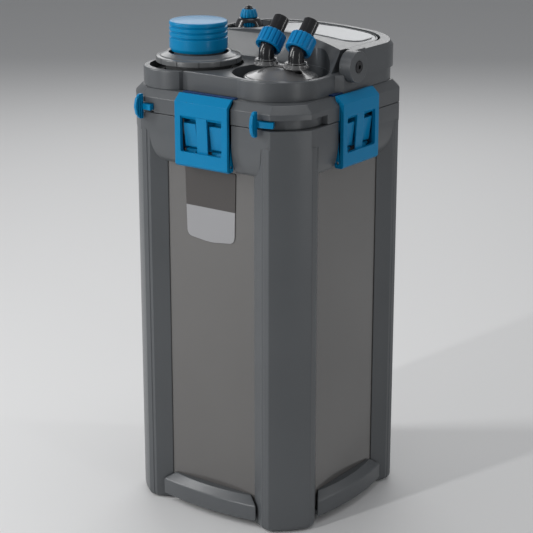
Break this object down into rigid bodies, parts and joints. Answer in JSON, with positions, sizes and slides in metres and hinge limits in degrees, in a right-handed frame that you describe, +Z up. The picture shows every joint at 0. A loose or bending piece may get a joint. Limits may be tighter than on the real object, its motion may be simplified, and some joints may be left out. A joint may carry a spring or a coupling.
{
  "type": "canister filter",
  "caption": "Tall square canister filter for an aquarium, with a latched lift-off pump head, stacked media baskets, pre-filter, heater and swivelling hose elbows.",
  "frame": {"origin": "middle of the footprint, on the surface that it stands on", "axes": "+Z up, -Y towards the label and the front latch, +X to the right seen from the front"},
  "size_m": [0.26, 0.278, 0.5928],
  "materials": {
    "grey_plastic": "slate grey moulded plastic, fine satin texture",
    "smoky_plastic": "smoky brown-grey gloss plastic",
    "black_plastic": "satin black moulded plastic",
    "blue_plastic": "bright blue satin plastic",
    "silver_plastic": "silver grey semi-gloss plastic",
    "steel": "brushed stainless steel",
    "magnet": "dark magnet rotor",
    "rubber": "matt black rubber",
    "ceramic": "matt off-white ceramic",
    "blue_foam": "open-cell blue foam",
    "orange_foam": "open-cell orange foam",
    "label": "printed two-tone grey label"
  },
  "bodies": {
    "canister": {"vessel": "smoky_plastic", "outer_frame": "grey_plastic", "base_tray": "grey_plastic", "label_plate": "label", "foot_back_right": "rubber", "foot_back_left": "rubber", "foot_front_left": "rubber", "foot_front_right": "rubber", "keeper_front": "blue_plastic", "keeper_right": "blue_plastic", "keeper_back": "blue_plastic", "keeper_left": "blue_plastic", "latch_pin_front": "steel", "latch_pin_right": "steel", "latch_pin_back": "steel", "latch_pin_left": "steel"},
    "head": {"head_base": "grey_plastic", "head_cover": "grey_plastic", "top_plate": "silver_plastic", "heater_panel": "black_plastic", "head_seal": "rubber", "prefilter_housing": "smoky_plastic", "motor_pot": "black_plastic", "pump_cover": "black_plastic", "impeller_shaft": "ceramic", "cable_gland": "rubber", "hub_cap_left": "black_plastic", "hub_cap_right": "black_plastic"},
    "handle": {"carry_handle": "grey_plastic"},
    "lever_right": {"lift_lever_right": "blue_plastic"},
    "lever_left": {"lift_lever_left": "blue_plastic"},
    "prefilter": {"prefilter_core": "grey_plastic", "prefilter_foam": "orange_foam"},
    "collar": {"bayonet_collar": "grey_plastic"},
    "cap": {"priming_cap": "blue_plastic"},
    "adapter": {"hose_adapter": "silver_plastic", "clip_collars": "silver_plastic"},
    "outlet_left": {"elbow_left": "black_plastic", "hose_nozzle_left": "black_plastic"},
    "outlet_right": {"elbow_right": "black_plastic", "hose_nozzle_right": "black_plastic"},
    "nut_left": {"hose_nut_left": "blue_plastic"},
    "nut_right": {"hose_nut_right": "blue_plastic"},
    "heater": {"heater_base": "black_plastic", "heater_top": "black_plastic", "heater_tube": "ceramic"},
    "dial": {"heater_dial": "blue_plastic"},
    "impeller": {"impeller": "magnet"},
    "latch_front": {"latch_front": "blue_plastic"},
    "latch_right": {"latch_right": "blue_plastic"},
    "latch_back": {"latch_back": "blue_plastic"},
    "latch_left": {"latch_left": "blue_plastic"},
    "basket_1": {"basket_1": "black_plastic", "ceramic_media": "ceramic"},
    "basket_2": {"basket_2": "black_plastic", "coarse_foam": "blue_foam"},
    "basket_3": {"basket_3": "black_plastic", "medium_foam": "blue_foam"},
    "basket_4": {"basket_4": "black_plastic", "fine_foam": "orange_foam"}
  },
  "joints": [
    {"name": "head_lift", "type": "slide", "parent": "canister", "child": "head", "axis": [0, 0, 1], "range_m": [0, 0.25]},
    {"name": "latch_front_swing", "type": "hinge", "parent": "canister", "child": "latch_front", "pos_m": [0, -0.122, 0.434], "axis": [1, 0, 0], "range_deg": [0, 172]},
    {"name": "latch_right_swing", "type": "hinge", "parent": "canister", "child": "latch_right", "pos_m": [0.122, 0, 0.434], "axis": [0, 1, 0], "range_deg": [0, 172]},
    {"name": "latch_back_swing", "type": "hinge", "parent": "canister", "child": "latch_back", "pos_m": [0, 0.122, 0.434], "axis": [-1, 0, 0], "range_deg": [0, 172]},
    {"name": "latch_left_swing", "type": "hinge", "parent": "canister", "child": "latch_left", "pos_m": [-0.122, 0, 0.434], "axis": [0, -1, 0], "range_deg": [0, 172]},
    {"name": "basket_1_lift", "type": "slide", "parent": "canister", "child": "basket_1", "axis": [0, 0, 1], "range_m": [0, 0.038]},
    {"name": "basket_2_lift", "type": "slide", "parent": "canister", "child": "basket_2", "axis": [0, 0, 1], "range_m": [0, 0.0755]},
    {"name": "basket_3_lift", "type": "slide", "parent": "canister", "child": "basket_3", "axis": [0, 0, 1], "range_m": [0, 0.113]},
    {"name": "basket_4_lift", "type": "slide", "parent": "canister", "child": "basket_4", "axis": [0, 0, 1], "range_m": [0, 0.1505]},
    {"name": "handle_swing", "type": "hinge", "parent": "head", "child": "handle", "pos_m": [0, 0, 0.538], "axis": [1, 0, 0], "range_deg": [0, 75]},
    {"name": "lever_right_turn", "type": "hinge", "parent": "head", "child": "lever_right", "pos_m": [0.072, -0.072, 0.489], "axis": [0, 0, 1], "range_deg": [0, 70]},
    {"name": "lever_left_turn", "type": "hinge", "parent": "head", "child": "lever_left", "pos_m": [-0.072, -0.072, 0.489], "axis": [0, 0, 1], "range_deg": [-70, 0]},
    {"name": "prefilter_lift", "type": "slide", "parent": "head", "child": "prefilter", "axis": [0, 0, 1], "range_m": [0, 0.36]},
    {"name": "collar_turn", "type": "hinge", "parent": "prefilter", "child": "collar", "pos_m": [-0.0615, -0.0525, 0.533], "axis": [0, 0, 1], "range_deg": [0, 30]},
    {"name": "cap_press", "type": "slide", "parent": "prefilter", "child": "cap", "axis": [0, 0, -1], "range_m": [0, 0.011], "stiffness_N_per_m": 400, "springref_m": -0.003},
    {"name": "adapter_lift", "type": "slide", "parent": "head", "child": "adapter", "axis": [0, 0, 1], "range_m": [0, 0.045]},
    {"name": "outlet_left_swivel", "type": "hinge", "parent": "adapter", "child": "outlet_left", "pos_m": [0.0315, -0.0475, 0.545], "axis": [0, 0, 1], "range_deg": [-10, 60]},
    {"name": "outlet_right_swivel", "type": "hinge", "parent": "adapter", "child": "outlet_right", "pos_m": [0.0725, -0.0475, 0.545], "axis": [0, 0, 1], "range_deg": [-60, 10]},
    {"name": "nut_left_turn", "type": "hinge", "parent": "outlet_left", "child": "nut_left", "pos_m": [0.0315, -0.0475, 0.5545], "axis": [0, 0.682, 0.7314], "continuous": true},
    {"name": "nut_right_turn", "type": "hinge", "parent": "outlet_right", "child": "nut_right", "pos_m": [0.0725, -0.0475, 0.5545], "axis": [0, 0.682, 0.7314], "continuous": true},
    {"name": "heater_lift", "type": "slide", "parent": "head", "child": "heater", "axis": [0, 0, 1], "range_m": [0, 0.3]},
    {"name": "dial_turn", "type": "hinge", "parent": "heater", "child": "dial", "pos_m": [-0.079, 0.07, 0.57], "axis": [0, 0, 1], "range_deg": [-135, 135]},
    {"name": "impeller_spin", "type": "hinge", "parent": "head", "child": "impeller", "pos_m": [0.03, 0.0655, 0.49], "axis": [0, 0, 1], "continuous": true}
  ],
  "couplings": [
    {"joint": "latch_front_swing", "follows": "head_lift", "rad_per_m": 12},
    {"joint": "latch_right_swing", "follows": "head_lift", "rad_per_m": 12},
    {"joint": "latch_back_swing", "follows": "head_lift", "rad_per_m": 12},
    {"joint": "latch_left_swing", "follows": "head_lift", "rad_per_m": 12},
    {"joint": "basket_1_lift", "follows": "head_lift", "ratio": 0.15},
    {"joint": "basket_2_lift", "follows": "head_lift", "ratio": 0.3},
    {"joint": "basket_3_lift", "follows": "head_lift", "ratio": 0.45},
    {"joint": "basket_4_lift", "follows": "head_lift", "ratio": 0.6}
  ]
}
